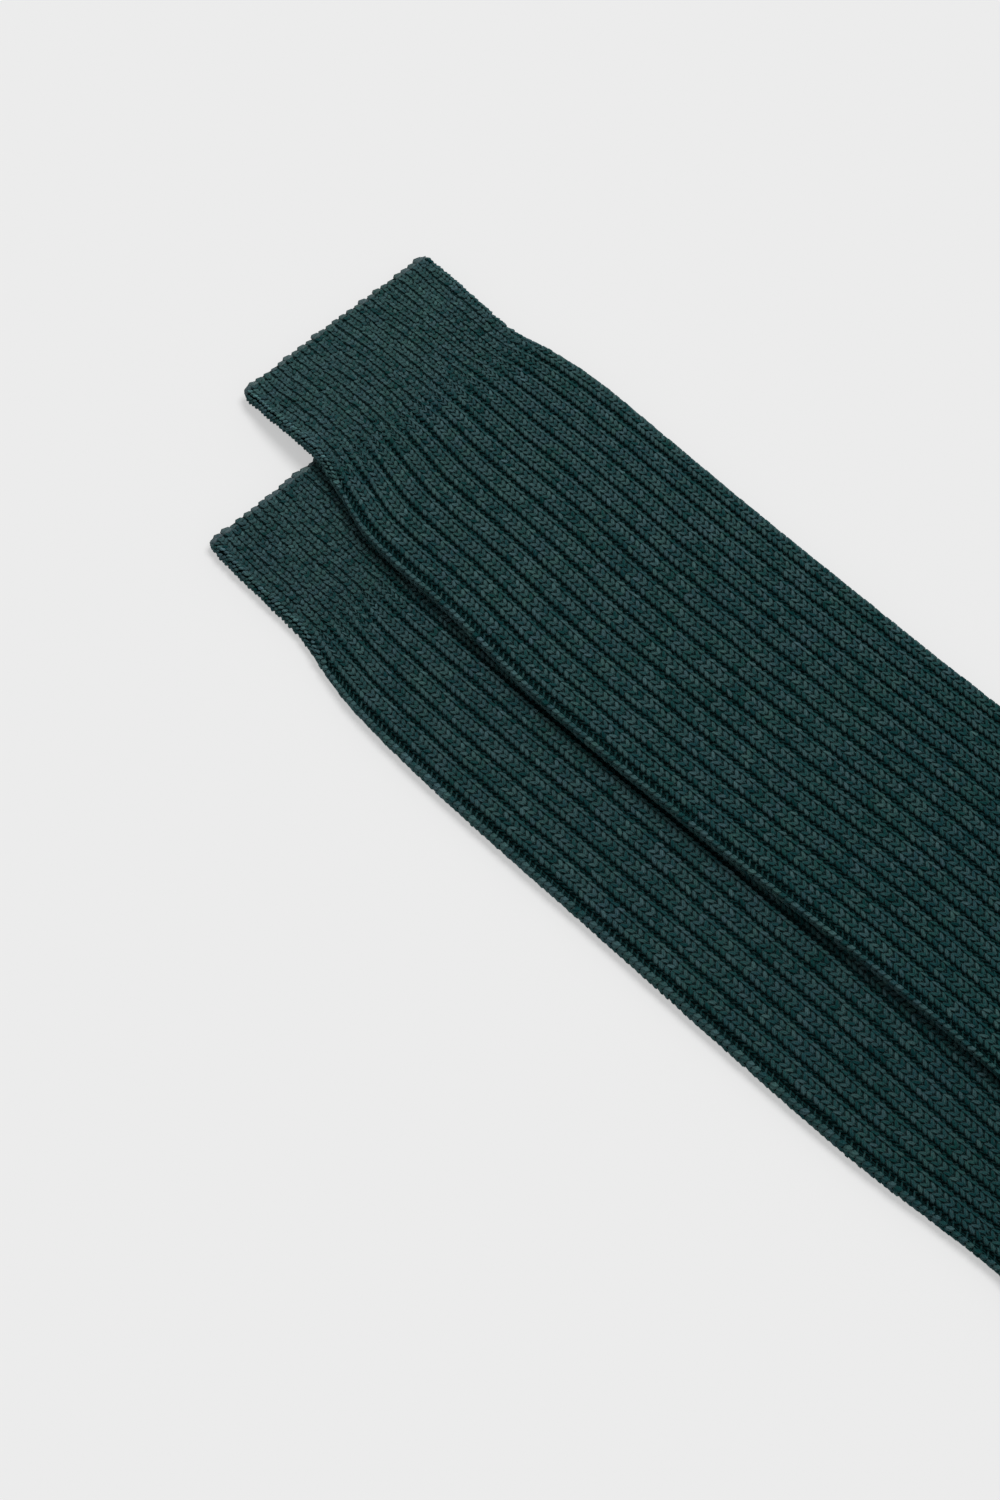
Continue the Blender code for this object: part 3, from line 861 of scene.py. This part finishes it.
def courses(start, end):
    """Lengths of the courses between two places, evenly fitted."""
    lengths = [start]
    while lengths[-1] < end:
        lengths.append(lengths[-1] + float(course_height(lengths[-1])))
    lengths = np.array(lengths)
    fitted = start + (lengths - start) * (end - start) / (lengths[-1] - start)
    return (fitted[:-1] + fitted[1:]) / 2.0


def row_places(sock, row, rib, along, kept_arc=None):
    """Where one row's legs lie round the sock, and their widths, painted shades and slants.

    A row that isn't made narrower as the toe closes keeps the arc it starts with.
    """
    cut = section_at(sock, along)
    arc = arc_of(cut)
    ribbed = relief_kept(cut, (rib + 0.5 + RIB_SHIFT) / RIBS)
    phase = row.cuff + cut.leg * (row.leg - row.cuff)
    phase = row.plain + ribbed * (phase - row.plain)
    half_width = row.cuff_half + cut.leg * (row.leg_half - row.cuff_half)
    half_width = PLAIN_HALF + ribbed * (half_width - PLAIN_HALF)
    # The row's painted light and shade
    shade = row.cuff_shade + cut.leg * (row.leg_shade - row.cuff_shade)
    shade = 1.0 + ribbed * (shade - 1.0)
    side = math.copysign(1.0, row.slant)
    slope = side + (row.slant - side) * cut.leg * ribbed
    stray = 0.0
    for speed, shift in (FIRST_STRAY, SECOND_STRAY):
        stray = stray + np.sin(along / STRAY_LENGTH * speed + shift * rib)
    stray *= CUFF_STRAY + (LEG_STRAY - CUFF_STRAY) * cut.leg
    share = (rib + phase + RIB_SHIFT + stray) / RIBS
    widest = kept_arc or arc
    share = 0.5 + (share - 0.5) * widest / arc
    return share, half_width * widest / RIBS, shade, slope


DRIFT_STITCHES = 13              # stitches along a course that share a shade
DRIFT_TONE = 0.04
STITCH_TONE = 0.20               # how far each leg's tone differs from its neighbours'
TONE_LIMITS = (0.45, 1.7)
DRIFT_TINT = 0.22


def drift(random, rows, around):
    """A value that drifts softly from stitch to stitch along each course."""
    spare = DRIFT_STITCHES - 1
    kernel = np.hanning(DRIFT_STITCHES)
    kernel /= np.sqrt((kernel ** 2).sum())
    loose = random.normal(0.0, 1.0, (rows, around + 2 * spare))
    even = np.apply_along_axis(lambda line: np.convolve(line, kernel, "same"), 1, loose)
    return even[:, spare:spare + around]


def yarn_mottle(course, column, random):
    """Light and colour of each leg, drifting along the yarn as it was knitted."""
    rows = course.max() + 1
    around = (RIBS + 2) * LEG_COLUMNS
    patch = drift(random, rows, around)[course, column]
    single = random.normal(0.0, 1.0, len(course))
    tone = np.clip(1.0 + DRIFT_TONE * patch + STITCH_TONE * single, *TONE_LIMITS)
    blue = drift(random, rows, around)[course, column]
    return tone, np.clip(0.5 + DRIFT_TINT * blue, 0.0, 1.0)


def unit(vectors):
    """Directions at length one."""
    return vectors / np.linalg.norm(vectors, axis=-1, keepdims=True)


HAND_STEP = 0.4                  # mm either side of a leg, to find the cloth's lie there
FAN_STEPS = 80                   # places along a fanned row where its length is taken
FACE_END = 0.002                 # no leg lies nearer to the folds' feet, as a share
TURN_SPREAD = 4.0                # degrees
SIZE_SPREAD = 0.05
PLACE_SPREAD_AT = (48.0, 68.0)   # mm from the top
PLACE_SPREAD = (0.14, 0.06)      # mm
FADE_AT = (0.0, 60.0, 350.0)     # painted shade: the wool is painted lighter at the cuff and darker towards the foot, mm
PAINTED_FOOTWARD_SHADE = (1.08, 1.0, 0.71)


def fanned(sock, row, rib, start, end):
    """Evenly spaced places along a row that is longer than the rows beside it."""
    fine = np.linspace(start, end, FAN_STEPS)
    line = face_points(sock, fine, row_places(sock, row, rib, fine)[0], 0.0, False)
    run = np.concatenate([[0.0], np.cumsum(np.linalg.norm(np.diff(line, axis=0), axis=1))])
    count = max(int(round(run[-1] / LONG_COURSE)), 1)
    return np.interp((np.arange(count) + 0.5) / count * run[-1], run, fine)


def stitches(name, sock, zone, finish, seed, fan=False, gather=False):
    """The yarn legs of one zone of a sock's upper side."""
    random = np.random.default_rng(seed)
    start, end = zone
    start_arc = float(arc_of(section_at(sock, start)))
    found = []
    for rib in range(-1, RIBS):
        for number, row in enumerate(YARN_ROWS if rib else FOLD_ROWS):
            along = fanned(sock, row, rib, start, end) if fan else courses(start, end)
            share, half_width, shade, slope = row_places(sock, row, rib, along,
                                                         start_arc if gather else None)
            keep = (share > FACE_END) & (share < 1.0 - FACE_END)
            keep &= half_width > MIN_SIZE * PLAIN_HALF * start_arc / RIBS
            column = (rib + 1) * LEG_COLUMNS + number
            course = np.arange(len(along))
            row_found = np.broadcast_arrays(along, share, half_width, shade, slope, course, column)
            found.append([values[keep] for values in row_found])
    along, share, half_width, shade, slope, course, column = (
        np.concatenate(values) for values in zip(*found))
    inset = YARN_SINK + 0.0 * along
    middle = face_points(sock, along, share, inset)
    ahead = unit(face_points(sock, along + HAND_STEP, share, inset)
                 - face_points(sock, along - HAND_STEP, share, inset))
    nudge = HAND_STEP / start_arc
    aside = unit(face_points(sock, along, share + nudge, inset)
                 - face_points(sock, along, share - nudge, inset))
    lean = SLANT * slope + random.normal(0.0, TURN_SPREAD, len(along))
    lean = np.radians(lean)[:, None]
    runs = ahead * np.cos(lean) + aside * np.sin(lean)
    height = np.full(len(along), LONG_COURSE) if fan else course_height(along)
    reach = YARN_REACH * height * (1.0 + random.normal(0.0, SIZE_SPREAD, len(along)))
    fat = YARN_FULL * half_width * (1.0 + random.normal(0.0, SIZE_SPREAD, len(along)))
    rise = YARN_RISE * np.minimum(1.0, THIN_RISE[0] + THIN_RISE[1] * half_width)
    size = np.column_stack([reach, fat, rise])
    spread = np.interp(along, PLACE_SPREAD_AT, PLACE_SPREAD)[:, None]
    middle += random.normal(0.0, 1.0, middle.shape) * spread
    tone, tint = yarn_mottle(course, column, random)
    # Painted light and shade: each row's painted shade, and painted shade deepening towards the
    # foot
    tone *= shade * np.interp(along, FADE_AT, PAINTED_FOOTWARD_SHADE)
    return lay_stitches(name, middle, np.cross(ahead, aside), runs, size, tone, tint, finish)


RIM_GREEN = (0.058, 0.098, 0.086, 1.0)      # paler and greyer than the rest
RIM_BLUE = (0.066, 0.090, 0.104, 1.0)
RIM_DEPTH = 1.6                  # from the edge to the first course of the cuff, mm
RIM_SETBACK = 0.75               # from the edge to the middle of its loops, mm
RIM_SINK = 1.1
RIM_LEAN = 18.0                  # degrees
RIM_TURN_SPREAD = 6.0
RIM_LOOP = (1.85, 1.25, 1.05)    # half length, half width and half height, mm
RIM_SIZE_SPREAD = 0.12
RIM_PLACE_SPREAD = (0.15, 0.15, 0.045)
RIM_TONE = (1.12, 0.12)          # middle and spread
RIM_TINT = (0.6, 0.2)
RIM_NUDGE = 0.2                  # of a loop, to find the edge's direction


def rim(name, sock, finish, seed):
    """The cast-on edge: one plump loop of yarn at the end of every fine rib."""
    random = np.random.default_rng(seed)
    loops = 2 * RIBS
    place = (np.arange(loops) + 0.5 + 2.0 * RIB_SHIFT) / loops % 1.0
    along = np.full(loops, RIM_SETBACK)
    inset = np.full(loops, RIM_SINK)

    def edge(places):
        return np.concatenate([face_points(sock, along, places, inset, False),
                               under_points(sock, along, places, inset)])

    middle = edge(place)
    aside = unit(edge(place + RIM_NUDGE / loops) - edge(place - RIM_NUDGE / loops))
    ahead = np.cross(unit(middle[loops - 1] - middle[0]), (0.0, 0.0, 1.0))
    outwards = np.cross(np.broadcast_to(-ahead, aside.shape), aside)
    lean = np.radians(RIM_LEAN + random.normal(0.0, RIM_TURN_SPREAD, 2 * loops))[:, None]
    runs = aside * np.cos(lean) + ahead * np.sin(lean)
    growth = 1.0 + random.normal(0.0, RIM_SIZE_SPREAD, (2 * loops, 1))
    size = np.tile(RIM_LOOP, (2 * loops, 1)) * growth
    middle = middle + random.normal(0.0, 1.0, middle.shape) * RIM_PLACE_SPREAD
    tone = random.normal(*RIM_TONE, 2 * loops)
    tint = np.clip(random.normal(*RIM_TINT, 2 * loops), 0.0, 1.0)
    return lay_stitches(name, middle, outwards, runs, size, tone, tint, finish)


TOE_CLOSE = 1.0                  # the toe's last course stops this far from its tip, mm
Seeds = namedtuple("Seeds", "rim cuff leg heel foot toe")


def knit_up(label, sock, finish, rim_finish, seeds):
    """All the stitches of one sock, zone by zone."""
    pieces = [rim(label + "_rim", sock, rim_finish, seeds.rim)]
    starts = (RIM_DEPTH, CUFF_END, sock.ankle, sock.foot, sock.toe)
    ends = starts[1:] + (sock.end - TOE_CLOSE,)
    for zone, start, end in zip(("cuff", "leg", "heel", "foot", "toe"), starts, ends):
        pieces.append(stitches(f"{label}_{zone}_stitches", sock, (start, end), finish,
                               getattr(seeds, zone), fan=zone == "heel", gather=zone == "toe"))
    for piece in pieces:
        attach(piece, "root")
    return pieces


lower_yarn = yarn_finish("lower_yarn", LOWER_SHADED_GREEN, LOWER_SHADED_BLUE)
rim_yarn = yarn_finish("rim_yarn", RIM_GREEN, RIM_BLUE)
lower_knitting = knit_up("lower", lower, lower_yarn, rim_yarn, Seeds(16, 11, 12, 13, 14, 15))


# ---------------------------------------------------------------------------
# The upper sock.  The same tube and the same stitches again, in wool from the same
# dye lot, lying over the far half of the lower sock and sloping down past its
# edges to the floor.
LAY_GAP = 0.3                    # air between the two socks, mm
LIFT_MARGIN = 2.0                # how far past the lower sock the cloth stays lifted, mm
DRAPE_RUN = 45.0                 # how far it takes from there to reach the floor, mm
UPPER_LEG = (
    Section(-152.3, 37.8, -152.1, 119.2, 5.2, 1, leg=0.0),
    Section(-149.5, 36.7, -149.3, 119.9, 5.4, 2, leg=0.0),
    Section(-137.0, 35.0, -137.0, 119.2, 5.6, 2, leg=0.0),
    Section(-125.0, 34.0, -125.0, 118.3, 5.6, 3, leg=0.0),
    Section(-112.0, 32.7, -109.0, 117.6, 5.6, 3, leg=0.1),
    Section(-97.0, 27.8, -93.0, 120.2, 5.8, 2, leg=0.9),
    Section(-79.0, 22.2, -74.0, 121.6, 6.0, 3),
    Section(-43.0, 19.9, -41.0, 120.2, 6.0, 3),
    Section(0.0, 15.9, 0.0, 118.2, 6.0, 4),
    Section(68.0, 15.1, 68.0, 116.1, 6.0, 4),
    Section(130.0, 16.6, 130.0, 114.5, 6.0, 3),
)
UPPER_ANKLE = (181.0, 63.0)
# The same dye lot as the lower sock, whose copy is painted a little darker as shade
UPPER_GREEN = (0.033, 0.082, 0.073, 1.0)
UPPER_BLUE = (0.038, 0.075, 0.090, 1.0)

lower_outline = np.vstack([lower.rings[::SHAPE_STEPS, 0:2], lower.rings[::-SHAPE_STEPS, 2:4]])


def on_lower_sock(x, y):
    """Height of the lower sock, or of the floor past it, under each point."""
    points = np.column_stack([x.ravel(), y.ravel()])
    nearest = np.full(len(points), np.inf)
    inside = np.zeros(len(points), dtype=bool)
    for start, end in zip(lower_outline, np.roll(lower_outline, -1, axis=0)):
        edge = end - start
        if not edge.any():
            continue
        share = np.clip(((points - start) @ edge) / (edge @ edge), 0.0, 1.0)
        gap = np.hypot(*(points - start - share[:, None] * edge).T)
        nearest = np.minimum(nearest, gap)
        if start[1] != end[1]:
            crosses = (start[1] > points[:, 1]) != (end[1] > points[:, 1])
            cut = start[0] + (points[:, 1] - start[1]) * edge[0] / edge[1]
            inside ^= crosses & (points[:, 0] < cut)
    past = np.where(inside, 0.0, nearest) - LIFT_MARGIN
    height = lower.rings[:, 4].max() + LAY_GAP
    return (height * smooth(1.0 - past / DRAPE_RUN)).reshape(x.shape)


upper = sock_shape(UPPER_LEG, UPPER_ANKLE, on_lower_sock)
upper_cloth = add_object("upper_sock_cloth", cloth_mesh("upper_sock_cloth", upper))
upper_cloth.data.materials.append(cloth_finish("upper_cloth", UPPER_GREEN, UPPER_BLUE))
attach(upper_cloth, "root")
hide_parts("sock_upper")

upper_yarn = yarn_finish("upper_yarn", UPPER_GREEN, UPPER_BLUE)
upper_knitting = knit_up("upper", upper, upper_yarn, rim_yarn, Seeds(34, 29, 30, 31, 32, 33))
bpy.data.objects.remove(YARN, do_unlink=True)
